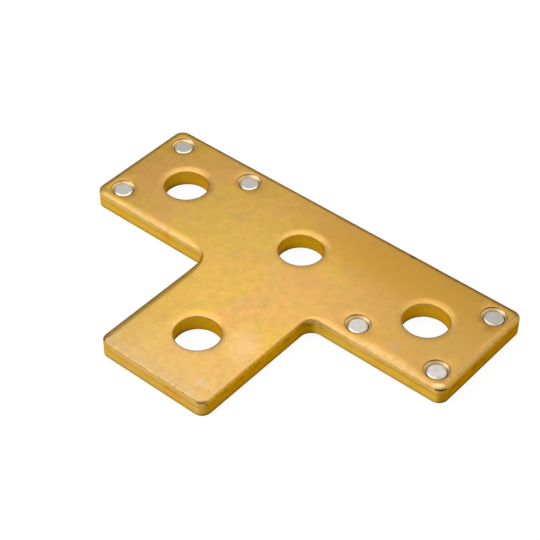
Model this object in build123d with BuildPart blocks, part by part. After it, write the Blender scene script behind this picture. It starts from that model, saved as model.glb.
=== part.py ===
from build123d import *

import os

# A tee-shaped joining plate: a punched steel plate with four bolt holes and six round inserts
# pressed into the ends of its bar. The bar runs along X and the stem towards -Y. The origin is
# on the axis of the bar's middle bolt hole, on the underside that lies against the framing.
# Sizes are in millimetres.

# Plate outline
hole_pitch = 47.6  # between bolt holes, along the bar and down the stem
bar_end_margin = 20.8  # from the bar's last bolt hole to its end
stem_end_margin = 20.4
bar_width = 41.2
stem_width = 40.8
plate_thickness = 6.0
outer_corner_radius = 3.3
inner_corner_radius = 4.0  # where the stem meets the bar

# Edges left by the press: drawn over on the face that the punch enters
edge_roll_width = 1.7
edge_roll_depth = 0.45
edge_roll_blend = 1.0  # radius that carries the rolled edge into the sheared wall
underside_break = 0.15  # chamfer left where the burr was taken off

# Bolt holes
bolt_hole_diameter = 14.3
bolt_hole_dish_width = 2.2  # around each hole the punched face sinks by a little
bolt_hole_dish_depth = 0.24
bolt_hole_break = 0.25  # bevel at the rim inside that dish

# Inserts and their seats, around both end holes of the bar
insert_diameter = 6.0
insert_edge_chamfer = 0.3
insert_end_margin = 6.5  # from the axis of an outer insert to the bar's end
insert_side_margin = 6.3  # from an insert's axis to the bar's nearer long edge
insert_set_back = 0.7  # from the plate's face down to the insert's
insert_press_clearance = 0.02  # on the radius
seat_diameter = 8.1  # coined mouth of the insert's hole
seat_step = 0.38  # depth of the mouth's upright rim, lip included
seat_lip = 0.2  # bevel where that rim meets the plate's face
seat_angle = 100  # cone angle below that rim

# Everything below follows from the sizes above
bar_reach = hole_pitch + bar_end_margin  # from the middle bolt hole to each end of the bar
stem_reach = hole_pitch + stem_end_margin
roll_start_blend = 4 * edge_roll_width  # radius that eases the face into the rolled edge
insert_length = plate_thickness - insert_set_back
insert_offset_x = bar_end_margin - insert_end_margin  # from the end bolt hole, along the bar
insert_offset_y = bar_width / 2 - insert_side_margin

bolt_hole_places = [
    (-hole_pitch, 0),
    (0, 0),
    (hole_pitch, 0),
    (0, -hole_pitch),
]

# Each end bolt hole has an insert at three corners of a square around it. The empty corners lie
# opposite each other through the middle bolt hole, so half a turn carries one set onto the other.
left, right, front, back = -1, 1, -1, 1
insert_corners = {
    "insert_left_outer_front": (left, left, front),
    "insert_left_outer_back": (left, left, back),
    "insert_left_inner_back": (left, right, back),
    "insert_right_inner_front": (right, left, front),
    "insert_right_outer_front": (right, right, front),
    "insert_right_outer_back": (right, right, back),
}
insert_places = {
    name: (end * hole_pitch + along * insert_offset_x, across * insert_offset_y)
    for name, (end, along, across) in insert_corners.items()
}

os.makedirs("parts", exist_ok=True)


# Plate: blanked to a tee, then pierced
with BuildPart() as tee_plate:
    with BuildSketch() as blank:
        Rectangle(2 * bar_reach, bar_width)
        Rectangle(stem_width, stem_reach, align=(Align.CENTER, Align.MAX))
        stem_end, bar_front, bar_back = blank.vertices().group_by(Axis.Y)
        bar_front = bar_front.sort_by(Axis.X)
        outer_corners = stem_end + bar_back + [bar_front[0], bar_front[-1]]
        inner_corners = bar_front[1:-1]
        fillet(outer_corners, radius=outer_corner_radius)
        fillet(inner_corners, radius=inner_corner_radius)
    extrude(amount=plate_thickness)

    # The drawn-over edge is a shallow slope, eased into the face above and the wall below
    face = tee_plate.faces().sort_by(Axis.Z)[-1]
    chamfer(face.edges(), length=edge_roll_width, length2=edge_roll_depth, reference=face)
    wall_top = plate_thickness - edge_roll_depth
    fillet(tee_plate.edges().filter_by_position(Axis.Z, wall_top, wall_top), radius=edge_roll_blend)
    face = tee_plate.faces().sort_by(Axis.Z)[-1]
    fillet(face.edges(), radius=roll_start_blend)

    underside = tee_plate.faces().sort_by(Axis.Z)[0]
    chamfer(underside.edges(), length=underside_break)

    with Locations(*[(x, y, plate_thickness) for x, y in bolt_hole_places]):
        Hole(radius=bolt_hole_diameter / 2)
    face = tee_plate.faces().sort_by(Axis.Z)[-1]
    mouths = face.inner_wires().edges()
    chamfer(mouths, length=bolt_hole_dish_width, length2=bolt_hole_dish_depth, reference=face)
    rim_height = plate_thickness - bolt_hole_dish_depth
    rims = tee_plate.edges().filter_by_position(Axis.Z, rim_height, rim_height)
    chamfer(rims, length=bolt_hole_break)

    with Locations(*[(x, y, plate_thickness - seat_step) for x, y in insert_places.values()]):
        CounterSinkHole(
            radius=insert_diameter / 2 + insert_press_clearance,
            counter_sink_radius=seat_diameter / 2,
            counter_sink_angle=seat_angle,
        )
    with Locations(*[(x, y, plate_thickness) for x, y in insert_places.values()]):
        Cone(
            bottom_radius=seat_diameter / 2,
            top_radius=seat_diameter / 2 + seat_lip,
            height=seat_lip,
            align=(Align.CENTER, Align.CENTER, Align.MAX),
            mode=Mode.SUBTRACT,
        )

tee_plate.part.label = "tee_plate"
export_step(tee_plate.part, "parts/tee_plate.step")


# Inserts: short round slugs with bevelled rims, flush with the underside
for name, (x, y) in insert_places.items():
    with BuildPart() as insert:
        with BuildSketch(Plane((x, y, 0))):
            Circle(insert_diameter / 2)
        extrude(amount=insert_length)
        chamfer(insert.edges().filter_by(GeomType.CIRCLE), length=insert_edge_chamfer)
    insert.part.label = name
    export_step(insert.part, f"parts/{name}.step")
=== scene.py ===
import math

import bmesh
import bpy
import numpy as np
from mathutils import Matrix, Vector, noise
from mathutils.geometry import delaunay_2d_cdt


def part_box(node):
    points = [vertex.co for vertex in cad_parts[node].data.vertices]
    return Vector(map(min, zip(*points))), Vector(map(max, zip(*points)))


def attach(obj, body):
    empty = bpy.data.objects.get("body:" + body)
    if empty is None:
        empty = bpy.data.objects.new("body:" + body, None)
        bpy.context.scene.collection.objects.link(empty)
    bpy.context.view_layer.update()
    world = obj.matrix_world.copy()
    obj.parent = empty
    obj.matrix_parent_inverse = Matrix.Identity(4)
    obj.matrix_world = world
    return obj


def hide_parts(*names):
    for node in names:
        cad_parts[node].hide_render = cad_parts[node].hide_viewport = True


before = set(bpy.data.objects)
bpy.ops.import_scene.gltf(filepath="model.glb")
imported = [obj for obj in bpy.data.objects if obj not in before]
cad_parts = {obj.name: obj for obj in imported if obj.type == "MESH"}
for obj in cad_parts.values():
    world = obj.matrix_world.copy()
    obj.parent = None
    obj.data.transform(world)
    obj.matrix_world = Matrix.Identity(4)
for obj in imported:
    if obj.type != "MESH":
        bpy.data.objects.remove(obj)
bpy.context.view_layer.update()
print("frame loaded:", sorted(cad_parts))

mm = 0.001  # everything below is written in millimetres
plateLow, plateHigh = [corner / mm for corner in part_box("tee_plate")]
insertNodes = sorted(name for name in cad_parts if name.startswith("insert_"))


def srgb(red, green, blue):
    # a colour as a screen shows it, 0 to 255, into the linear values that nodes take
    values = [v / 255 for v in (red, green, blue)]
    return [v / 12.92 if v <= 0.04045 else ((v + 0.055) / 1.055) ** 2.4 for v in values] + [1.0]


# Node helpers

def newGroup(name, inputs, outputs):
    group = bpy.data.node_groups.new(name, "ShaderNodeTree")
    for label, kind, value in inputs:
        socket = group.interface.new_socket(name=label, in_out="INPUT", socket_type=kind)
        if value is not None:
            socket.default_value = value
    for label, kind in outputs:
        group.interface.new_socket(name=label, in_out="OUTPUT", socket_type=kind)
    return group, group.nodes.new("NodeGroupInput"), group.nodes.new("NodeGroupOutput")


def feed(tree, socket, value):
    # a link from another node's output, or a plain value
    if isinstance(value, bpy.types.NodeSocket):
        tree.links.new(value, socket)
    else:
        socket.default_value = value


def addNode(tree, kind, settings=None, **inputs):
    # inputs go by name, or by their place as i0, i1 and so on
    node = tree.nodes.new(kind)
    for key, value in (settings or {}).items():
        setattr(node, key, value)
    for key, value in inputs.items():
        byPlace = key[0] == "i" and key[1:].isdigit()
        feed(tree, node.inputs[int(key[1:]) if byPlace else key], value)
    return node


def calculate(tree, operation, first, second=0.0, clamp=False):
    settings = {"operation": operation, "use_clamp": clamp}
    return addNode(tree, "ShaderNodeMath", settings, i0=first, i1=second).outputs[0]


def plus(tree, first, second):
    return calculate(tree, "ADD", first, second)


def minus(tree, first, second):
    return calculate(tree, "SUBTRACT", first, second)


def times(tree, first, second):
    return calculate(tree, "MULTIPLY", first, second)


def larger(tree, first, second):
    return calculate(tree, "MAXIMUM", first, second)


def vectorMath(tree, operation, first, second=(0.0, 0.0, 0.0), output=0):
    node = addNode(tree, "ShaderNodeVectorMath", {"operation": operation}, i0=first, i1=second)
    return node.outputs[output]


def scaled(tree, vector, x, y, z):
    return vectorMath(tree, "MULTIPLY", vector, (x, y, z))


def turnedAboutZ(tree, vector, angle):
    settings = {"rotation_type": "Z_AXIS"}
    return addNode(tree, "ShaderNodeVectorRotate", settings, Vector=vector, Angle=angle).outputs[0]


def remap(tree, value, low, high, toLow=0.0, toHigh=1.0):
    # a ramp from low to high, eased at both ends
    node = addNode(tree, "ShaderNodeMapRange", {"interpolation_type": "SMOOTHSTEP"}, i0=value, i1=low,
                   i2=high, i3=toLow, i4=toHigh)
    return node.outputs[0]


def blendColour(tree, amount, first, second):
    return addNode(tree, "ShaderNodeMix", {"data_type": "RGBA"}, i0=amount, i6=first, i7=second).outputs[2]


def noiseAt(tree, vector, scale, detail=2.0, roughness=0.5):
    return addNode(tree, "ShaderNodeTexNoise", None, Vector=vector, Scale=scale, Detail=detail,
                   Roughness=roughness).outputs[0]


# Shared effects, each built once

def buildMetalGrain():
    # fine tooth of a plated surface: Height for a bump, Mottle for colour and roughness
    group, source, sink = newGroup(
        "metalGrain",
        [("Position", "NodeSocketVector", None), ("Grain Size", "NodeSocketFloat", 0.3)],
        [("Height", "NodeSocketFloat"), ("Mottle", "NodeSocketFloat")],
    )
    perMm = calculate(group, "DIVIDE", 1.0, source.outputs["Grain Size"])
    fine = noiseAt(group, source.outputs["Position"], perMm, 3.0, 0.6)
    coarse = noiseAt(group, source.outputs["Position"], times(group, perMm, 0.16), 2.0)
    height = plus(group, times(group, fine, 0.55), times(group, coarse, 0.45))
    feed(group, sink.inputs["Height"], height)
    feed(group, sink.inputs["Mottle"], remap(group, coarse, 0.35, 0.65))
    return group


def buildHandlingMarks():
    # sparse hair scratches in three directions, broken up by a slower noise
    group, source, sink = newGroup(
        "handlingMarks",
        [("Position", "NodeSocketVector", None), ("Spread", "NodeSocketFloat", 1.0)],
        [("Scratches", "NodeSocketFloat")],
    )
    strands = []
    for angle, offset in ((0.5, 3.0), (-0.9, 11.0), (1.9, 23.0)):
        drawn = scaled(group, turnedAboutZ(group, source.outputs["Position"], angle), 0.045, 1.3, 1.0)
        line = noiseAt(group, vectorMath(group, "ADD", drawn, (offset, offset, 0.0)), 1.0, 2.0, 0.4)
        strands.append(remap(group, line, 0.655, 0.70))
    every = larger(group, larger(group, strands[0], strands[1]), strands[2])
    patches = noiseAt(group, source.outputs["Position"], 0.06, 1.0)
    gate = remap(group, times(group, patches, source.outputs["Spread"]), 0.48, 0.62)
    feed(group, sink.inputs["Scratches"], times(group, every, gate))
    return group


metalGrain = buildMetalGrain()
handlingMarks = buildHandlingMarks()


def objectPosition(tree):
    # object coordinates in millimetres
    coordinates = tree.nodes.new("ShaderNodeTexCoord").outputs["Object"]
    return scaled(tree, coordinates, 1 / mm, 1 / mm, 1 / mm)


def placeGroup(tree, group, **inputs):
    node = tree.nodes.new("ShaderNodeGroup")
    node.node_tree = group
    for key, value in inputs.items():
        feed(tree, node.inputs[key.replace("_", " ")], value)
    return node


def readAttribute(tree, name):
    settings = {"attribute_type": "GEOMETRY", "attribute_name": name}
    return addNode(tree, "ShaderNodeAttribute", settings).outputs["Fac"]


def splitPosition(tree, position):
    return addNode(tree, "ShaderNodeSeparateXYZ", None, i0=position).outputs


# What the plate's mesh tells its material, point by point
maskNames = ("wallMask", "rollMask", "nickMask", "fractureMask", "seatMask", "scuffMask", "deepMask")

yellowZinc = {
    # the punched face
    "gold": srgb(221, 173, 56),
    "rosyGold": srgb(222, 166, 74),
    "mauveGold": srgb(206, 154, 92),
    "greenGold": srgb(206, 172, 48),
    "shadeGold": srgb(189, 141, 38),
    "paleGold": srgb(208, 168, 98),
    "backGold": srgb(202, 145, 4),
    # the sheared and torn walls
    "deepGold": srgb(222, 180, 80),
    "orangeGold": srgb(222, 162, 50),
    "oliveGold": srgb(204, 172, 60),
    "fracture": srgb(216, 178, 70),
    "shadeWall": srgb(190, 140, 8),
    # the seats, wear, marks, and painted highlights and shade
    "seatGold": srgb(246, 218, 170),
    "wornGold": srgb(230, 195, 136),
    "nickDark": srgb(58, 38, 8),
    "pitDark": srgb(104, 72, 18),
    "markGrey": srgb(206, 180, 142),
    "markMauve": srgb(190, 146, 106),
    "markPale": srgb(250, 226, 176),
    "patchPale": srgb(224, 180, 112),
    "edgeTint": srgb(255, 205, 90),
    # patches of other tints: a noise, the span of its values over which a tint comes in, and its most
    "clouds": [
        {"tint": "rosyGold", "scale": 0.045, "detail": 2, "rough": 0.55, "span": (0.44, 0.62), "most": 1.0},
        {"tint": "mauveGold", "scale": 0.11, "detail": 2, "rough": 0.5, "span": (0.56, 0.72), "most": 0.45},
        {"tint": "greenGold", "scale": 0.22, "detail": 3, "rough": 0.6, "span": (0.42, 0.72), "most": 0.45},
    ],
    "mottle":
        {"tint": "shadeGold", "scale": 0.42, "detail": 3, "rough": 0.6, "span": (0.35, 0.68), "most": 0.3},
    "wallClouds": [
        {"tint": "orangeGold", "scale": 0.11, "detail": 2, "rough": 0.5, "span": (0.5, 0.66), "most": 1.0},
        {"tint": "oliveGold", "scale": 0.16, "detail": 2, "rough": 0.5, "span": (0.54, 0.68), "most": 1.0},
    ],
    # painted shade towards the bar's right end and a painted paler sheen towards the stem's foot, from one
    # place to another
    "barShade": {"span": (8.0, 58.0), "most": 0.72},
    "footPale": {"span": (-42.0, -68.0), "most": 0.7},
    "deepening": 0.9,  # how far the painted shade on the walls goes to shadeWall
    "pitting": 0.65,
    "scratchPaleness": 0.07,
    # gloss
    "roughness": 0.34,
    "wallRoughness": 0.44,
    "grainRoughness": 0.06,
    "scratchGloss": 0.05,
    "wornDullness": 0.14,
    "seatDullness": 0.6,  # how far the coined cones are from bare shining metal
    "coat": 0.78,
    "coatRoughness": 0.22,
    "coatIor": 1.6,
    # relief in millimetres
    "grainSize": 0.32,
    "toothHeight": 0.010,
    "streakHeight": 0.05,
    "tornHeight": 0.07,
    "scratchDepth": 0.002,
}


# Marks on the punched face: marks of use and pits, and painted patches of sheen, glint and shade; place, turn
# in degrees, half length and half width in mm
faceMarks = [
    {"at": (14.3, -61.8), "turn": 0, "long": 2.6, "wide": 2.3, "colour": "markGrey", "strength": 0.55},
    {"at": (47.2, -15.0), "turn": 129, "long": 3.6, "wide": 2.2, "colour": "markMauve", "strength": 0.45},
    # a painted glint on the roll above the nick at the bar's front right corner
    {"at": (65.9, -19.0), "turn": 36, "long": 2.4, "wide": 1.1, "colour": "markPale", "strength": 0.6},
    # a painted paler sheen on the stem
    {"at": (14.0, -43.0), "turn": 129, "long": 10.0, "wide": 6.5, "colour": "patchPale", "strength": 0.8},
    # painted shade along the back of the bar's right arm
    {"at": (28.0, 11.5), "turn": 0, "long": 48.0, "wide": 15.0, "colour": "backGold", "strength": 0.85},
    # painted shade on the stem's left side
    {"at": (-14.5, -50.0), "turn": 90, "long": 20.0, "wide": 9.0, "colour": "shadeGold", "strength": 0.2},
    {"at": (7.5, -26.3), "turn": 0, "long": 0.45, "wide": 0.45, "colour": "pitDark", "strength": 0.6},
    {"at": (65.9, -14.1), "turn": 8, "long": 1.3, "wide": 0.35, "colour": "pitDark", "strength": 0.55},
    {"at": (60.2, -6.0), "turn": 24, "long": 3.6, "wide": 0.28, "colour": "markMauve", "strength": 0.5},
    {"at": (61.4, -4.2), "turn": 40, "long": 3.2, "wide": 0.28, "colour": "markMauve", "strength": 0.5},
    {"at": (61.0, -8.4), "turn": 6, "long": 3.0, "wide": 0.25, "colour": "markMauve", "strength": 0.45},
]


def markAt(tree, position, mark):
    # how strongly one mark shows: full in its middle, gone at its rim and below the face
    moved = vectorMath(tree, "SUBTRACT", position, (*mark["at"], plateHigh.z))
    turned = turnedAboutZ(tree, moved, -math.radians(mark["turn"]))
    sized = scaled(tree, turned, 1 / mark["long"], 1 / mark["wide"], 1.0)
    reach = vectorMath(tree, "LENGTH", sized, output="Value")
    return remap(tree, reach, 0.1, 1.1, mark["strength"], 0.0)


def cloudOver(tree, position, colour, look, cloud):
    patches = noiseAt(tree, position, cloud["scale"], cloud["detail"], cloud["rough"])
    amount = remap(tree, patches, *cloud["span"], 0.0, cloud["most"])
    return blendColour(tree, amount, colour, look[cloud["tint"]])


def zincFaceColour(tree, position, look):
    # cloudy passivation over gold
    colour = look["gold"]
    for cloud in look["clouds"]:
        colour = cloudOver(tree, position, colour, look, cloud)
    x, y = splitPosition(tree, position)[:2]
    # painted shade towards the bar's right end, and a painted paler sheen towards the stem's foot
    for place, drift, tint in ((x, look["barShade"], "shadeGold"), (y, look["footPale"], "paleGold")):
        colour = blendColour(tree, remap(tree, place, *drift["span"], 0.0, drift["most"]), colour, look[tint])
    return cloudOver(tree, position, colour, look, look["mottle"])


def zincWallColour(tree, position, look, streaks, crumbs, broken, deep):
    # deeper gold with orange and olive patches, duller where the metal tore, and painted shade on the end
    # walls and in the bores
    colour = look["deepGold"]
    for cloud in look["wallClouds"]:
        colour = cloudOver(tree, position, colour, look, cloud)
    tornAmount = times(tree, broken, remap(tree, crumbs, 0.3, 0.75, 0.1, 0.8))
    colour = blendColour(tree, tornAmount, colour, look["fracture"])
    colour = blendColour(tree, remap(tree, streaks, 0.56, 0.72, 0.0, 0.5), colour, look["fracture"])
    return blendColour(tree, times(tree, deep, look["deepening"]), colour, look["shadeWall"])


def buildYellowZinc(look):
    material = bpy.data.materials.new("yellowZincPlating")
    material.use_nodes = True
    tree = material.node_tree
    shader = tree.nodes["Principled BSDF"].inputs
    position = objectPosition(tree)
    wall, roll, nick, broken, seat, scuff, deep = (readAttribute(tree, name) for name in maskNames)
    offWall = minus(tree, 1.0, wall)
    streaks = noiseAt(tree, scaled(tree, position, 1.6, 1.6, 0.22), 1.0, 3.0, 0.6)
    crumbs = noiseAt(tree, scaled(tree, position, 0.9, 0.9, 0.9), 1.0, 4.0, 0.65)
    grain = placeGroup(tree, metalGrain, Position=position, Grain_Size=look["grainSize"])
    marks = placeGroup(tree, handlingMarks, Position=position, Spread=1.0)
    scratches = times(tree, marks.outputs["Scratches"], offWall)

    walls = zincWallColour(tree, position, look, streaks, crumbs, broken, deep)
    colour = blendColour(tree, wall, zincFaceColour(tree, position, look), walls)
    # small pits, thickest where the walls are scuffed
    pits = noiseAt(tree, scaled(tree, position, 1.0, 1.0, 1.4), 0.7, 3.0, 0.65)
    pitted = remap(tree, plus(tree, pits, times(tree, scuff, 0.12)), 0.66, 0.75, 0.0, look["pitting"])
    colour = blendColour(tree, times(tree, pitted, remap(tree, scuff, 0.0, 0.2)), colour, look["pitDark"])
    # marks of use and pits, and painted patches of sheen, glint and shade
    for mark in faceMarks:
        colour = blendColour(tree, markAt(tree, position, mark), colour, look[mark["colour"]])
    # rolled rim paler in patches: wear, and a painted highlight strongest on the sides that face the front
    rubbed = remap(tree, noiseAt(tree, position, 0.55, 2.0, 0.55), 0.34, 0.64, 0.42, 0.95)
    colour = blendColour(tree, times(tree, roll, rubbed), colour, look["wornGold"])
    # coined cones paler: wear, and a painted highlight strongest on one side
    colour = blendColour(tree, seat, colour, look["seatGold"])
    # nicks drawn dark, and painted shade in creases, corners, at the walls' foot and inside the bores and
    # seats
    colour = blendColour(tree, nick, colour, look["nickDark"])
    colour = blendColour(tree, times(tree, scratches, look["scratchPaleness"]), colour, look["wornGold"])
    feed(tree, shader["Base Color"], colour)

    unevenness = times(tree, minus(tree, grain.outputs["Mottle"], 0.5), look["grainRoughness"])
    roughness = plus(tree, look["roughness"], unevenness)
    roughness = plus(tree, roughness, times(tree, wall, look["wallRoughness"] - look["roughness"]))
    roughness = plus(tree, roughness, times(tree, roll, look["wornDullness"]))
    feed(tree, shader["Roughness"], minus(tree, roughness, times(tree, scratches, look["scratchGloss"])))

    tooth = times(tree, grain.outputs["Height"], look["toothHeight"])
    drawn = times(tree, times(tree, streaks, wall), look["streakHeight"])
    rough = times(tree, times(tree, crumbs, broken), look["tornHeight"])
    scored = times(tree, scratches, -look["scratchDepth"])
    height = plus(tree, plus(tree, tooth, drawn), plus(tree, rough, scored))
    bump = addNode(tree, "ShaderNodeBump", None, Strength=1.0, Distance=mm, Height=height)
    feed(tree, shader["Normal"], bump.outputs[0])
    feed(tree, shader["Coat Weight"], times(tree, offWall, look["coat"]))
    feed(tree, shader["Coat Roughness"], look["coatRoughness"])
    feed(tree, shader["Coat IOR"], look["coatIor"])
    feed(tree, shader["Specular Tint"], look["edgeTint"])
    feed(tree, shader["Metallic"], minus(tree, 1.0, times(tree, seat, look["seatDullness"])))
    return material


brightMetal = {
    "face": srgb(208, 200, 196),
    "shade": srgb(196, 198, 190),
    "bright": srgb(212, 208, 202),  # painted highlight on the insert at the bar's front left
    "dull": srgb(188, 186, 180),  # and painted shade on the one at its back right
    # a painted highlight on the rim's chamfer
    "rim": srgb(240, 230, 208),
    "roughness": 0.34,
    "grainRoughness": 0.08,
    "grainSize": 0.2,
    "scratchStrength": 0.3,
    # relief in millimetres: rings left by the lathe, and the grain
    "ringPitch": 0.22,
    "ringHeight": 0.0006,
    "toothHeight": 0.0016,
}


def buildBrightMetal(look):
    material = bpy.data.materials.new("brightInsertMetal")
    material.use_nodes = True
    tree = material.node_tree
    shader = tree.nodes["Principled BSDF"].inputs
    position = objectPosition(tree)
    rim = readAttribute(tree, "rimMask")
    radius = readAttribute(tree, "ringRadius")
    grain = placeGroup(tree, metalGrain, Position=position, Grain_Size=look["grainSize"])
    marks = placeGroup(tree, handlingMarks, Position=scaled(tree, position, 2.0, 2.0, 2.0), Spread=1.2)
    colour = blendColour(tree, grain.outputs["Mottle"], look["face"], look["shade"])
    x, y = splitPosition(tree, position)[:2]
    frontLeft = times(tree, remap(tree, x, -40.0, -60.0), remap(tree, y, 0.0, -12.0))
    backRight = times(tree, remap(tree, x, 40.0, 60.0), remap(tree, y, 0.0, 12.0))
    # painted highlight on the front left insert, painted shade on the back right one
    colour = blendColour(tree, frontLeft, colour, look["bright"])
    colour = blendColour(tree, backRight, colour, look["dull"])
    # painted highlight on the rim's chamfer
    colour = blendColour(tree, rim, colour, look["rim"])
    scratches = times(tree, marks.outputs["Scratches"], look["scratchStrength"])
    feed(tree, shader["Base Color"], blendColour(tree, scratches, colour, look["shade"]))

    rings = calculate(tree, "SINE", times(tree, radius, 2 * math.pi / look["ringPitch"]))
    tooth = times(tree, grain.outputs["Height"], look["toothHeight"])
    height = plus(tree, times(tree, rings, look["ringHeight"]), tooth)
    bump = addNode(tree, "ShaderNodeBump", None, Strength=1.0, Distance=mm, Height=height)
    feed(tree, shader["Normal"], bump.outputs[0])
    unevenness = times(tree, minus(tree, grain.outputs["Mottle"], 0.5), look["grainRoughness"])
    feed(tree, shader["Roughness"], plus(tree, look["roughness"], unevenness))
    feed(tree, shader["Metallic"], 1.0)
    return material


zincMaterial = buildYellowZinc(yellowZinc)
insertMaterial = buildBrightMetal(brightMetal)
print("materials built")


# Plate: the tee's outline carried round a cross-section of its edge, in millimetres
plate = {
    "barEnd": plateHigh.x,
    "barFront": -20.6,
    "barBack": plateHigh.y,
    "stemSide": 20.4,
    "stemEnd": plateLow.y,
    "thickness": plateHigh.z,
    "outerRadius": 3.3,
    "innerRadius": 4.0,
    "straightStep": 0.6,
    "cornerStep": 0.22,
    "rollWidth": 3.0,
    "rollDepth": 0.42,
    "rollCurve": 2.2,
    "rollBlend": 0.6,
    "rollSteps": 10,
    "blendSteps": 12,
    "wallSteps": 16,
    "undersideBreak": 0.15,
    "gridStep": 3.0,  # between the points inside the flat faces
    "gridMargin": 4.6,  # from the outline to the first of them
    "holeMargin": 1.0,
    "fractureTop": 3.6,  # height where the sheared wall turns into torn metal
    "fractureWave": 0.35,
    "fractureJag": 0.3,
    "fractureDepth": 0.05,
    "footGrime": 0.36,  # how dark the painted shade is at the foot of the walls
    "endFootGrime": 0.5,  # and of the end walls besides
    "roundGrime": 0.13,  # on the tight round below the roll
    "endGrime": 0.16,  # over the end walls
    "seamGrime": 0.27,  # along the line where the tearing starts
    "cornerGrime": 0.21,  # in the right inner corner
    "cornerReach": 8.0,  # and how far it spreads from there
}
holePitch = 47.6
boltHoles = {
    "places": [(-holePitch, 0.0), (0.0, 0.0), (holePitch, 0.0), (0.0, -holePitch)],
    "radius": 7.15,
    "roll": 0.27,
    "breakout": 0.3,  # how far the torn foot of the bore opens out
    "dishWidth": 2.4,
    "dishDepth": 0.36,
    "dishCurve": 2.6,
    "dishTurn": math.radians(100),  # towards the side where the dish is deepest
    "darkTurn": math.radians(205),  # the side of the bore with the most painted shade
    "lightTurn": math.radians(40),  # and the one with the least
    "nearTurn": math.radians(310),  # the side of the rim that has a painted dark line of shade
    "dishSteps": 9,
    "rimSteps": 6,
    "wallSteps": 14,
    "sides": 96,
}
seats = {
    "places": [tuple((sum(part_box(name), Vector()) / 2 / mm).xy) for name in insertNodes],
    "radius": 3.98,
    "step": 0.38,
    "boreRadius": 3.02,
    "coneAngle": 50.0,  # from the axis
    "lip": 0.12,
    "sides": 64,
    "darkTurn": math.radians(150),  # middle of the arc where painted shade shows under the lip
    "shadeTurn": math.radians(28),  # and of the one where it shows on the cone
    "paleTurn": math.radians(85),  # the side of the cone with the brightest painted highlight
}
# How much of the full roll each stretch of the outline has
rollShareOf = {
    "stemEnd": 0.16,
    "stemRight": 0.23,
    "stemLeft": 0.95,
    "barEndMiddle": 1.0,
    "besideSeat": 0.6,
    "barFrontRight": 1.4,
    "barFrontLeft": 0.9,
    "leftInnerCorner": 0.3,
    "rightInnerCorner": 0.5,
}


def teeOutline(sizes):
    # points round the tee, anticlockwise, each with its outward normal
    end, side = sizes["barEnd"], sizes["stemSide"]
    front, back, foot = sizes["barFront"], sizes["barBack"], sizes["stemEnd"]
    outer, inner = sizes["outerRadius"], -sizes["innerRadius"]
    corners = [
        (-end, back, outer), (-end, front, outer), (-side, front, inner), (-side, foot, outer),
        (side, foot, outer), (side, front, inner), (end, front, outer), (end, back, outer),
    ]
    samples = []
    for index, (x, y, radius) in enumerate(corners):
        corner = Vector((x, y))
        before = Vector(corners[index - 1][:2])
        after = Vector(corners[(index + 1) % len(corners)][:2])
        arriving, leaving = (corner - before).normalized(), (after - corner).normalized()
        reach = abs(radius)
        outwardIn = Vector((arriving.y, -arriving.x))
        centre = corner - arriving * reach - outwardIn * radius
        turn = math.radians(90) * (1 if radius > 0 else -1)
        count = max(8, round(reach * math.radians(90) / sizes["cornerStep"]))
        for step in range(count + 1):
            normal = outwardIn.copy()
            normal.rotate(Matrix.Rotation(turn * step / count, 2))
            samples.append((centre + normal * radius, normal))
        straightStart = corner + leaving * reach
        straightEnd = after - leaving * abs(corners[(index + 1) % len(corners)][2])
        run = (straightEnd - straightStart).length
        count = round(run / sizes["straightStep"])
        outwardOut = Vector((leaving.y, -leaving.x))
        for step in range(1, count):
            samples.append((straightStart + leaving * run * step / count, outwardOut))
    return samples


plateMesh = {"points": [], "faces": [], **{name: [] for name in maskNames}}


def addRing(points, **masks):
    first = len(plateMesh["points"])
    plateMesh["points"].extend(tuple(point) for point in points)
    for name in maskNames:
        values = masks.get(name, 0.0)
        plateMesh[name].extend(values if isinstance(values, list) else [values] * len(points))
    return list(range(first, first + len(points)))


def bridge(upper, lower, outward=True):
    # a strip of quads between two rings, the upper nearer the punched face
    for index, (a, c) in enumerate(zip(upper, lower)):
        following = (index + 1) % len(upper)
        b, d = upper[following], lower[following]
        plateMesh["faces"].append((a, c, d, b) if outward else (a, b, d, c))


def soften(value, low, high):
    # 0 below low, 1 above high, eased between them
    share = min(max((value - low) / (high - low), 0.0), 1.0)
    return share * share * (3 - 2 * share)


def around(value, middle, reach):
    # 1 at the middle, fading to nothing on both sides
    return math.exp(-((value - middle) / reach) ** 2)


def toward(turn, middle, power):
    # 1 in the middle direction, nothing from a quarter turn off it
    return max(0.0, math.cos(turn - middle)) ** power


def noiseIn(x, y, z):
    return noise.noise(Vector((x, y, z)))


# Nicks in the rolled edge: at the two corners that stand out most, and one along the back
nicks = [
    {"at": (19.43, -67.03), "height": 5.35, "length": 2.0, "tall": 0.17, "depth": 0.32, "dark": 1.0},
    {"at": (67.43, -19.63), "height": 5.3, "length": 2.1, "tall": 0.2, "depth": 0.34, "dark": 1.0},
    {"at": (28.2, 20.6), "height": 5.85, "length": 1.0, "tall": 0.09, "depth": 0.25, "dark": 0.75},
]


def nickAt(x, y, z):
    # how deep the nearest nick is here, and how dark
    strongest = (0.0, 0.0)
    for nick in nicks:
        along = math.hypot(x - nick["at"][0], y - nick["at"][1]) / nick["length"]
        share = max(0.0, 1 - along ** 2) ** 0.4 * around(z, nick["height"], nick["tall"])
        strongest = max(strongest, (share * nick["depth"], nick["dark"] * min(1.0, 1.5 * share)))
    return strongest


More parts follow.
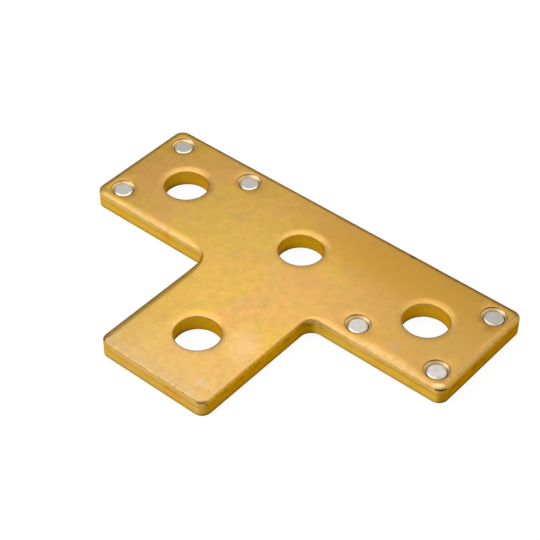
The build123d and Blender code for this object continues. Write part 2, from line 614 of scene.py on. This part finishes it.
def rollShares(outline, sizes):
    # broad along the bar's front, tight beside a seat and at the stem's end
    shares = []
    for spot, normal in outline:
        onStem = spot.y < sizes["barFront"] - 0.5
        nearStem = abs(spot.x) < sizes["stemSide"] + sizes["innerRadius"] + 1.0
        nearSeat = any(abs(spot.x - x) < 5.5 and abs(spot.y - y) < 8.0 for x, y in seats["places"])
        if nearStem and abs(spot.y - sizes["barFront"]) < sizes["innerRadius"] + 1.0:
            stretch = "leftInnerCorner" if spot.x < 0 else "rightInnerCorner"
        elif onStem:
            stretch = "stemEnd" if normal.y < -0.7 else "stemRight" if normal.x > 0.7 else "stemLeft"
        elif normal.x > 0.7 and abs(spot.y) < 7.5:
            stretch = "barEndMiddle"
        elif nearSeat or normal.y > -0.7:
            stretch = "besideSeat"
        else:
            stretch = "barFrontRight" if spot.x > 0 else "barFrontLeft"
        unevenness = 1 + 0.1 * noiseIn(spot.x * 0.11, spot.y * 0.11, 5.0)
        shares.append(rollShareOf[stretch] * unevenness)
    # smoothed round the outline, so that one stretch runs into the next
    reach = 12
    wrapped = np.concatenate([shares[-reach:], shares, shares[:reach]])
    return np.convolve(wrapped, np.hanning(2 * reach + 3)[1:-1] / (reach + 1), "valid")


def edgeSection(sizes):
    # inset and height: the face bends down ever faster, then a tight round meets the wall
    thickness, breakSize = sizes["thickness"], sizes["undersideBreak"]
    wide, deep, blend = sizes["rollWidth"], sizes["rollDepth"], sizes["rollBlend"]
    rollSteps, blendSteps, wallSteps = sizes["rollSteps"], sizes["blendSteps"], sizes["wallSteps"]
    steepest = math.atan(sizes["rollCurve"] * deep / wide)
    roundFrom = blend * (1 - math.sin(steepest))
    section = []
    for step in range(rollSteps):
        fall = deep * (step / rollSteps) ** sizes["rollCurve"]
        section.append((wide - (wide - roundFrom) * step / rollSteps, thickness - fall))
    for step in range(blendSteps + 1):
        turn = steepest + (math.radians(90) - steepest) * step / blendSteps
        fall = blend * (math.cos(steepest) - math.cos(turn))
        section.append((blend * (1 - math.sin(turn)), thickness - deep - fall))
    wallTop = section[-1][1]
    section += [(0.0, wallTop - (wallTop - breakSize) * step / wallSteps) for step in range(1, wallSteps + 1)]
    return section + [(breakSize, 0.0)], wallTop


def edgePoint(sizes, base, normal, share, inset, level, wallTop):
    # one point of the edge, and how worn, torn and dirty it is there
    thickness, breakSize, blend = sizes["thickness"], sizes["undersideBreak"], sizes["rollBlend"]
    # the roll gets lower and narrower together, and the wall makes up the height
    if level >= wallTop:
        z = thickness - (thickness - level) * math.sqrt(share)
    else:
        lift = (thickness - wallTop) * (1 - math.sqrt(share))
        z = level + lift * max(0.0, level - breakSize) / (wallTop - breakSize)
    wave = noiseIn(base.x * 0.16, base.y * 0.16, 3.0)
    jag = noiseIn(base.x * 0.9, base.y * 0.9, 7.0)
    line = sizes["fractureTop"] + sizes["fractureWave"] * wave + sizes["fractureJag"] * jag
    torn = soften(line - z, -0.3, 0.6) if inset == 0.0 else 0.0
    lumps = 0.5 + 0.5 * noiseIn(base.x * 0.7, base.y * 0.7, z * 0.9)
    dent, nickDark = nickAt(base.x, base.y, z)
    roll = inset * (share if level > wallTop else 1.0)
    spot = base - normal * (roll + torn * sizes["fractureDepth"] * (0.4 + lumps) + dent)

    onEndWall = soften(normal.x, 0.2, 0.8)
    frontFacing = soften(-normal.y, 0.3, 0.8)
    atStemEnd = soften(sizes["stemEnd"] + 3.0 - base.y, 0.0, 2.0) * frontFacing
    onUnderside = z <= 0

    # painted shade at the walls' foot, and a little on the tight round below the roll
    endFoot = sizes["endFootGrime"] * onEndWall * soften(0.9 - z, 0.0, 0.5)
    foot = sizes["footGrime"] * soften(1.4 - z, 0.0, 1.0) + endFoot
    away = math.hypot(base.x - sizes["stemSide"], base.y - sizes["barFront"])
    corner = sizes["cornerGrime"] * around(away, 0.0, sizes["cornerReach"])
    onRound = 1 - abs(2 * inset / blend - 1) if 0 < inset < blend else 0.0
    tight = (sizes["roundGrime"] + corner) * onRound * frontFacing
    # painted shade along the line where the tearing starts, and along the edge of the stem's end
    seam = (sizes["seamGrime"] + 0.2 * wave) * frontFacing * around(z, line, 0.33)
    stemSeam = (0.45 + 0.6 * jag) * atStemEnd * around(z, 5.87, 0.1)
    # painted shade over the end walls, more towards their foot and the bar's right end, with dark blotches
    # and flecks
    blotch = max(0.0, 0.1 + noiseIn(base.x * 0.3, base.y * 0.3, z * 0.8 + 20.0))
    fleck = max(0.0, noiseIn(base.x * 1.1, base.y * 1.1, z * 1.9 + 40.0))
    speckle = (0.62 * blotch + 0.3 * fleck) * around(z, line + 0.1, 0.8)
    farther, lower = 0.14 * soften(base.x, 50.0, 66.0), 0.22 * soften(3.0 - z, 0.0, 3.0)
    endGrime = sizes["endGrime"] + farther + lower + speckle
    wall = (corner + onEndWall * endGrime) * soften(thickness - z, 0.3, 0.8)
    grime = max(tight, seam, stemSeam)
    if not onUnderside:
        grime = max(grime, foot, wall)

    # the roll paler from wear, more on the sides that face the front, and a painted highlight on the smooth
    # upper part of the walls that face the front and along the stem's end
    worn = soften(thickness - level, 0.0, 0.22) * (1 - soften(thickness - 0.2 - level, 0.0, 0.35))
    rub = worn * share * (0.6 if normal.y < -0.3 else 0.3)
    if inset < 0.4:
        rub = max(rub, frontFacing * soften(z - line, 0.3, 1.7) * (1 - 0.6 * atStemEnd))
        rub = min(1.0, rub + atStemEnd * max(0.3, around(z, 5.4, 0.36)))
    rub = max(rub, 0.45 * atStemEnd * soften(z, thickness - 0.1, thickness))

    scuff = (0.35 + 0.65 * soften(normal.x, 0.3, 0.9)) * (0.35 + 0.65 * around(z, 4.9, 0.6))
    marks = {
        "wallMask": soften(thickness - 0.35 - level, 0.0, 0.35) if level > 0 else 0.0,
        "rollMask": 0.0 if onUnderside else rub,
        "nickMask": max(nickDark, grime),
        "fractureMask": torn,
        "scuffMask": 0.0 if onUnderside else scuff,
        # painted shade on the end walls, less above the line where the tearing starts
        "deepMask": onEndWall * (1 - 0.45 * soften(z, line, line + 1.2)),
    }
    return (spot.x, spot.y, z), marks


def edgeRings(sizes):
    section, wallTop = edgeSection(sizes)
    outline = teeOutline(sizes)
    shares = rollShares(outline, sizes)
    rings = []
    for inset, level in section:
        made = [edgePoint(sizes, base, normal, share, inset, level, wallTop)
                for (base, normal), share in zip(outline, shares)]
        masks = {name: [marks.get(name, 0.0) for point, marks in made] for name in maskNames}
        rings.append(addRing([point for point, marks in made], **masks))
    for upper, lower in zip(rings, rings[1:]):
        bridge(upper, lower)
    return rings[0], rings[-1]


def circleRing(place, radius, z, sides, **masks):
    turns = [2 * math.pi * side / sides for side in range(sides)]
    levels = z if isinstance(z, list) else [z] * sides
    return addRing([(place[0] + radius * math.cos(t), place[1] + radius * math.sin(t), level)
                    for t, level in zip(turns, levels)], **masks)


def boltHoleRings(place, holes, thickness):
    radius, roll, sides, curve = holes["radius"], holes["roll"], holes["sides"], holes["dishCurve"]
    dishSteps, rimSteps, wallSteps = holes["dishSteps"], holes["rimSteps"], holes["wallSteps"]
    turns = [2 * math.pi * side / sides for side in range(sides)]
    # the face sinks towards the punched mouth, most on the side where the punch bit last
    sinks = [holes["dishDepth"] * (0.2 + 0.8 * (0.5 + 0.5 * math.cos(turn - holes["dishTurn"])) ** 1.5)
             for turn in turns]
    rings = []
    mouth = radius + roll
    slope = math.atan(curve * holes["dishDepth"] / holes["dishWidth"])
    for step in range(dishSteps):
        share = step / dishSteps
        levels = [thickness - sink * share ** curve for sink in sinks]
        rings.append(circleRing(place, mouth + holes["dishWidth"] * (1 - share), levels, sides,
                                rollMask=0.3 * share ** 2))
    for step in range(rimSteps + 1):
        lean = slope + (math.radians(90) - slope) * step / rimSteps
        levels = [thickness - sink - roll * (math.cos(slope) - math.cos(lean)) for sink in sinks]
        inward = soften(step / rimSteps, 0.3, 0.9)
        # a painted dark line of shade on the near side of the rim
        near = [0.4 * toward(turn, holes["nearTurn"], 0.5) for turn in turns]
        rings.append(circleRing(place, radius + roll * (1 - math.sin(lean)), levels, sides, rollMask=0.3,
                                nickMask=near, wallMask=inward, deepMask=inward))
    rimFoot = levels
    for step in range(1, wallSteps + 1):
        drop = step / wallSteps
        levels = [foot * (1 - drop) for foot in rimFoot]
        height = thickness * (1 - drop)
        # painted shade, darker towards the underside and most of all on one side, with fine drawn lines round
        # the bore
        lines = 0.07 * noiseIn(place[0], place[1], height * 2.6)
        allRound = lines + 0.18 * drop ** 2 + 0.5 * soften(0.5 - height, 0.0, 0.3)
        oneSide = 0.2 + 0.55 * drop ** 2
        dark = [min(1.0, max(0.0, allRound + oneSide * toward(turn, holes["darkTurn"], 1.3)))
                for turn in turns]
        # painted shade in the bore's colour, least on its light side
        deep = [1.0 - 0.5 * toward(turn, holes["lightTurn"], 2) for turn in turns]
        # the torn lower part opens out towards the underside
        flare = radius + holes["breakout"] * soften(4.0 - height, 0.0, 4.0)
        rings.append(circleRing(place, flare, levels, sides, wallMask=1.0, nickMask=dark, deepMask=deep,
                                fractureMask=soften(2.4 - height, 0.0, 0.8)))
    for upper, lower in zip(rings, rings[1:]):
        bridge(upper, lower, outward=False)
    return rings[0], rings[-1]


def seatRings(place, seat, thickness):
    # coined mouth, cone and bore that an insert sits in
    radius, bore, sides, lip = seat["radius"], seat["boreRadius"], seat["sides"], seat["lip"]
    coneHead = thickness - seat["step"]
    coneFoot = coneHead - (radius - bore) / math.tan(math.radians(seat["coneAngle"]))
    # radius, height, how pale (wear and painted highlight), painted shade all round, painted shade under the
    # lip, painted shade on the cone
    section = [
        (radius + lip * (1 - math.sin(lean)), thickness - lip * (1 - math.cos(lean)), 0.0, 0.0, 0.0, 0.0)
        for lean in (math.radians(90) * step / 5 for step in range(6))
    ]
    section += [
        (radius, coneHead + 0.05, 0.0, 0.1, 0.85, 0.3),
        (radius - 0.02, coneHead, 0.3, 0.1, 0.85, 0.4),
        (radius - 0.1, coneHead - 0.06, 1.0, 0.0, 0.0, 0.45),
        ((radius + bore) / 2, (coneHead + coneFoot) / 2, 1.0, 0.0, 0.0, 0.4),
        (bore + 0.34, coneFoot + 0.285, 0.9, 0.0, 0.0, 0.4),
        (bore + 0.24, coneFoot + 0.2, 0.0, 0.35, 0.0, 0.3),
        (bore, coneFoot, 0.0, 0.7, 0.0, 0.0),
        (bore, coneFoot / 2, 0.0, 0.8, 0.0, 0.0),
        (bore, 0.0, 0.0, 0.0, 0.0, 0.0),
    ]
    turns = [2 * math.pi * side / sides for side in range(sides)]
    rings = []
    for r, z, pale, grime, underLip, onCone in section:
        dark = [
            grime + underLip * toward(turn, seat["darkTurn"], 3) + onCone * toward(turn, seat["shadeTurn"], 3)
            for turn in turns
        ]
        # paler on the side of the painted highlight
        shining = [pale * (0.5 + 0.5 * toward(turn, seat["paleTurn"], 1)) for turn in turns]
        rings.append(circleRing(place, r, z, sides, seatMask=shining, nickMask=dark))
    for upper, lower in zip(rings, rings[1:]):
        bridge(upper, lower, outward=False)
    return rings[0], rings[-1]


def insideTee(x, y, sizes, margin):
    end, side, back = sizes["barEnd"] - margin, sizes["stemSide"] - margin, sizes["barBack"] - margin
    inBar = abs(x) < end and sizes["barFront"] + margin < y < back
    inStem = abs(x) < side and sizes["stemEnd"] + margin < y < back
    return inBar or inStem


def fillFlat(outerRing, holeRings, z, sizes, upward):
    # a flat face between the edge's ring and the rings of every hole, as even triangles
    loops = [outerRing] + [ring for ring, place, radius in holeRings]
    spots, links, owners = [], [], []
    for loop in loops:
        first = len(spots)
        spots += [Vector(plateMesh["points"][index][:2]) for index in loop]
        owners += loop
        links += [(first + i, first + (i + 1) % len(loop)) for i in range(len(loop))]
    step, holeMargin = sizes["gridStep"], sizes["holeMargin"]
    across = int(sizes["barEnd"] / step)
    down = int(-sizes["stemEnd"] / step)
    up = int(sizes["barBack"] / step)
    for column in range(-across, across + 1):
        for row in range(-down, up + 1):
            x, y = column * step + (row % 2) * step / 2, row * step
            clear = all(math.hypot(x - place[0], y - place[1]) > radius + holeMargin
                        for ring, place, radius in holeRings)
            if clear and insideTee(x, y, sizes, sizes["gridMargin"]):
                owners += addRing([(x, y, z)])
                spots.append(Vector((x, y)))
    placed, _, triangles, origins, _, _ = delaunay_2d_cdt(spots, links, [], 0, 1e-6)
    # a triangle belongs to the face where a line from its middle crosses the rings an odd number of times
    starts = np.array([spots[first] for first, second in links])
    ends = np.array([spots[second] for first, second in links])
    rise = np.where(ends[:, 1] == starts[:, 1], 1.0, ends[:, 1] - starts[:, 1])
    for triangle in triangles:
        x, y = sum((placed[corner] for corner in triangle), Vector((0.0, 0.0))) / 3
        spans = (starts[:, 1] > y) != (ends[:, 1] > y)
        reach = starts[:, 0] + (y - starts[:, 1]) / rise * (ends[:, 0] - starts[:, 0])
        if np.count_nonzero(spans & (x < reach)) % 2 == 1:
            corners = tuple(owners[origins[corner][0]] for corner in triangle)
            plateMesh["faces"].append(corners if upward else corners[::-1])


def describe(name, mesh):
    openEdges = sum(not edge.is_manifold for edge in mesh.edges)
    volume = round(mesh.calc_volume() / mm ** 3)
    print(f"{name}: {len(mesh.faces)} faces, {openEdges} open edges, volume mm3 {volume}")


def buildPlate():
    thickness = plate["thickness"]
    faceEdge, underEdge = edgeRings(plate)
    faceHoles, underHoles = [], []
    for place in boltHoles["places"]:
        top, bottom = boltHoleRings(place, boltHoles, thickness)
        faceHoles.append((top, place, boltHoles["radius"] + boltHoles["roll"] + boltHoles["dishWidth"]))
        underHoles.append((bottom, place, boltHoles["radius"] + boltHoles["breakout"]))
    for place in seats["places"]:
        top, bottom = seatRings(place, seats, thickness)
        faceHoles.append((top, place, seats["radius"] + seats["lip"]))
        underHoles.append((bottom, place, seats["boreRadius"]))
    fillFlat(faceEdge, faceHoles, thickness, plate, True)
    fillFlat(underEdge, underHoles, 0.0, plate, False)
    mesh = bpy.data.meshes.new("teePlate")
    mesh.from_pydata([[c * mm for c in point] for point in plateMesh["points"]], [], plateMesh["faces"])
    for name in maskNames:
        attribute = mesh.attributes.new(name, "FLOAT", "POINT")
        attribute.data.foreach_set("value", plateMesh[name])
    mesh.shade_smooth()
    mesh.set_sharp_from_angle(angle=math.radians(32))
    mesh.materials.append(zincMaterial)
    piece = bpy.data.objects.new("teePlate", mesh)
    bpy.context.scene.collection.objects.link(piece)
    checker = bmesh.new()
    checker.from_mesh(mesh)
    describe("plate", checker)
    checker.free()
    return piece


teePlate = buildPlate()
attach(teePlate, "root")
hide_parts("tee_plate")


# Inserts: one lathe-turned slug, set on every seat by Geometry Nodes
insertLow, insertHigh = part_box(insertNodes[0])
insertSet = {
    "Radius": (insertHigh.x - insertLow.x) / 2,
    "Length": insertHigh.z - insertLow.z,
    "Rim Width": 0.46 * mm,
    "Rim Drop": 0.2 * mm,
    "Sides": 64,
}


def buildInsertTree():
    tree = bpy.data.node_groups.new("insertSet", "GeometryNodeTree")
    face = tree.interface
    face.new_socket(name="Places", in_out="INPUT", socket_type="NodeSocketGeometry")
    for label in ("Radius", "Length", "Rim Width", "Rim Drop"):
        face.new_socket(name=label, in_out="INPUT", socket_type="NodeSocketFloat")
    face.new_socket(name="Sides", in_out="INPUT", socket_type="NodeSocketInt")
    face.new_socket(name="Inserts", in_out="OUTPUT", socket_type="NodeSocketGeometry")
    source, sink = tree.nodes.new("NodeGroupInput").outputs, tree.nodes.new("NodeGroupOutput").inputs
    radius, length, rim, drop = (source[name] for name in ("Radius", "Length", "Rim Width", "Rim Drop"))

    # a grid whose width becomes the turn and whose height runs over the slug's outline
    rows = 8
    grid = tree.nodes.new("GeometryNodeMeshGrid")
    for label, value in (("Size X", 1.0), ("Size Y", rows - 1), ("Vertices X", source["Sides"]),
                         ("Vertices Y", rows)):
        feed(tree, grid.inputs[label], value)
    x, y = splitPosition(tree, tree.nodes.new("GeometryNodeInputPosition").outputs[0])[:2]
    step = plus(tree, y, (rows - 1) / 2)
    turn = times(tree, plus(tree, x, 0.5), 2 * math.pi)

    def ramp(start, width=1.0):
        return calculate(tree, "DIVIDE", minus(tree, step, start), width, clamp=True)

    # the outline: out over the face and its rim, down the wall, in over the lower rim and the foot
    flat, foot = minus(tree, radius, rim), minus(tree, radius, drop)
    out = plus(tree, times(tree, flat, ramp(0, 2)), times(tree, rim, ramp(2)))
    out = minus(tree, out, times(tree, drop, ramp(4)))
    out = minus(tree, out, times(tree, foot, ramp(5, 2)))
    rims = times(tree, drop, plus(tree, ramp(2), ramp(4)))
    wallRun = minus(tree, length, times(tree, drop, 2.0))
    height = minus(tree, length, plus(tree, rims, times(tree, wallRun, ramp(3))))
    spot = addNode(tree, "ShaderNodeCombineXYZ", None, i0=times(tree, out, calculate(tree, "COSINE", turn)),
                   i1=times(tree, out, calculate(tree, "SINE", turn)), i2=height)

    # stored before the grid is bent, while its height still says where on the outline a point is
    def store(geometry, name, value):
        return addNode(tree, "GeometryNodeStoreNamedAttribute", None, Geometry=geometry, Name=name,
                       Value=value).outputs[0]

    # where the rim's chamfer is, for its painted highlight
    marked = store(grid.outputs["Mesh"], "rimMask", ramp(2))
    marked = store(marked, "ringRadius", calculate(tree, "DIVIDE", out, mm))
    shaped = addNode(tree, "GeometryNodeSetPosition", None, Geometry=marked, Position=spot.outputs[0])
    welded = addNode(tree, "GeometryNodeMergeByDistance", None, Geometry=shaped.outputs[0],
                     Distance=0.002 * mm)
    smooth = addNode(tree, "GeometryNodeSetShadeSmooth", None, Geometry=welded.outputs[0])
    copies = addNode(tree, "GeometryNodeInstanceOnPoints", None, Points=source["Places"],
                     Instance=smooth.outputs[0])
    real = addNode(tree, "GeometryNodeRealizeInstances", None, i0=copies.outputs[0])
    finish = addNode(tree, "GeometryNodeSetMaterial", None, Geometry=real.outputs[0], Material=insertMaterial)
    feed(tree, sink["Inserts"], finish.outputs[0])
    return tree


def buildInserts():
    tree = buildInsertTree()
    places = bpy.data.meshes.new("insertPlaces")
    places.from_pydata([(x * mm, y * mm, 0.0) for x, y in seats["places"]], [], [])
    carrier = bpy.data.objects.new("insertPlaces", places)
    bpy.context.scene.collection.objects.link(carrier)
    modifier = carrier.modifiers.new("insertSet", "NODES")
    modifier.node_group = tree
    for item in tree.interface.items_tree:
        if item.in_out == "INPUT" and item.name in insertSet:
            modifier[item.identifier] = insertSet[item.name]
    evaluated = carrier.evaluated_get(bpy.context.evaluated_depsgraph_get())
    mesh = bpy.data.meshes.new_from_object(evaluated)
    carrier.modifiers.remove(modifier)
    bpy.data.objects.remove(carrier)
    outward = bmesh.new()
    outward.from_mesh(mesh)
    bmesh.ops.recalc_face_normals(outward, faces=outward.faces)
    describe("inserts", outward)
    outward.to_mesh(mesh)
    outward.free()
    mesh.set_sharp_from_angle(angle=math.radians(15))
    piece = bpy.data.objects.new("roundInserts", mesh)
    bpy.context.scene.collection.objects.link(piece)
    return piece


roundInserts = buildInserts()
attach(roundInserts, "root")
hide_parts(*insertNodes)


# Stage: a pale floor, soft lamps and the camera
studio = {
    "floorSize": 4.0,
    "floorDrop": 0.02 * mm,
    "floorColour": srgb(248, 248, 248),
    "floorGlow": 0.86,  # the rest of the floor stays lit, and keeps the shadow
    "glowStrength": 1.06,
    "floorInMetal": 1.0,  # how much of the floor's white, and of the walls', the metal shows
    "wallsInMetal": 0.1,
    "overheadStrength": 0.4,
    "overheadSpan": (0.05, 0.75),
    # a pale wall off the front left, and another, higher, at the back right
    "paleWalls": [
        {"toward": (-0.48, -0.88, 0.0), "span": (0.25, 0.8), "strength": 0.5},
        {"toward": (0.55, 0.58, 0.6), "span": (0.6, 0.93), "strength": 0.89},
    ],
}


def whiteRays(tree, inMetal):
    # what sees the white background: the camera, glass, and a share of what metal reflects
    path = tree.nodes.new("ShaderNodeLightPath").outputs
    direct = larger(tree, path["Is Camera Ray"], path["Is Transmission Ray"])
    return larger(tree, direct, times(tree, path["Is Glossy Ray"], inMetal))


def buildFloor():
    half, level = studio["floorSize"] / 2, -studio["floorDrop"]
    corners = [(-half, -half, level), (half, -half, level), (half, half, level), (-half, half, level)]
    mesh = bpy.data.meshes.new("floor")
    mesh.from_pydata(corners, [], [(0, 1, 2, 3)])
    floor = bpy.data.objects.new("floor", mesh)
    bpy.context.scene.collection.objects.link(floor)
    material = bpy.data.materials.new("paleFloor")
    material.use_nodes = True
    tree = material.node_tree
    tree.nodes.clear()
    diffuse = addNode(tree, "ShaderNodeBsdfDiffuse", None, Color=studio["floorColour"])
    glow = addNode(tree, "ShaderNodeEmission", None, Color=(1, 1, 1, 1), Strength=studio["glowStrength"])
    seen = times(tree, whiteRays(tree, studio["floorInMetal"]), studio["floorGlow"])
    mix = addNode(tree, "ShaderNodeMixShader", None, i0=seen, i1=diffuse.outputs[0], i2=glow.outputs[0])
    addNode(tree, "ShaderNodeOutputMaterial", None, Surface=mix.outputs[0])
    mesh.materials.append(material)


def buildWorld():
    world = bpy.data.worlds.new("studioWorld")
    bpy.context.scene.world = world
    world.use_nodes = True
    tree = world.node_tree
    tree.nodes.clear()
    # pale overhead and dark at the horizon, as in a room with its lamps above the table
    sky = tree.nodes.new("ShaderNodeTexCoord").outputs["Generated"]
    upward = splitPosition(tree, sky)[2]
    strength = remap(tree, upward, *studio["overheadSpan"], 0.0, studio["overheadStrength"])
    for wall in studio["paleWalls"]:
        facing = vectorMath(tree, "DOT_PRODUCT", sky, wall["toward"], "Value")
        strength = larger(tree, strength, remap(tree, facing, *wall["span"], 0.0, wall["strength"]))
    dome = addNode(tree, "ShaderNodeBackground", None, Color=(1, 1, 1, 1), Strength=strength)
    white = addNode(tree, "ShaderNodeBackground", None, Color=(1, 1, 1, 1), Strength=1.0)
    mix = addNode(tree, "ShaderNodeMixShader", None, i0=whiteRays(tree, studio["wallsInMetal"]),
                  i1=dome.outputs[0], i2=white.outputs[0])
    addNode(tree, "ShaderNodeOutputWorld", None, Surface=mix.outputs[0])


lamps = [
    {"name": "overheadSoftbox", "at": (-0.13, 0.03, 0.36), "aim": (-0.13, 0.03, 0), "wide": 0.40,
     "deep": 0.58, "radiance": 1.14},
    {"name": "frontLeftSoftbox", "at": (-0.40, -0.36, 0.48), "aim": (0, 0, 0), "wide": 0.54,
     "deep": 0.5, "radiance": 1.25},
]


def buildLamps():
    for lamp in lamps:
        light = bpy.data.lights.new(lamp["name"], "AREA")
        light.shape = "RECTANGLE"
        light.size, light.size_y = lamp["wide"], lamp["deep"]
        light.energy = lamp["radiance"] * math.pi * lamp["wide"] * lamp["deep"]
        holder = bpy.data.objects.new(lamp["name"], light)
        holder.location = lamp["at"]
        holder.rotation_euler = (Vector(lamp["aim"]) - Vector(lamp["at"])).to_track_quat("-Z", "Y").to_euler()
        holder.visible_camera = False
        bpy.context.scene.collection.objects.link(holder)


view = {
    "azimuth": 39.8833,
    "elevation": 42.7734,
    "roll": 0.4623,
    "distance": 515.3396,
    "acrossShift": -9.52,
    "upShift": -1.9396,
    "focalShare": 1662.6586 / 540,  # focal length over the frame's width
}


def buildCamera():
    turn, rise, roll = (math.radians(view[key]) for key in ("azimuth", "elevation", "roll"))
    back = Vector((math.sin(turn) * math.cos(rise), -math.cos(turn) * math.cos(rise), math.sin(rise)))
    level = Vector((math.cos(turn), math.sin(turn), 0.0))
    upright = back.cross(level)
    right = level * math.cos(roll) + upright * math.sin(roll)
    up = upright * math.cos(roll) - level * math.sin(roll)
    data = bpy.data.cameras.new("camera")
    data.sensor_width = 36.0
    data.lens = view["focalShare"] * data.sensor_width
    data.clip_start = 0.01
    camera = bpy.data.objects.new("camera", data)
    place = (right * view["acrossShift"] + up * view["upShift"] + back * view["distance"]) * mm
    axes = Matrix((right, up, back)).transposed().to_4x4()
    camera.matrix_world = Matrix.Translation(place) @ axes
    bpy.context.scene.collection.objects.link(camera)
    bpy.context.scene.camera = camera


buildFloor()
buildWorld()
buildLamps()
buildCamera()
bpy.context.scene.view_settings.view_transform = "Standard"
print("stage built")
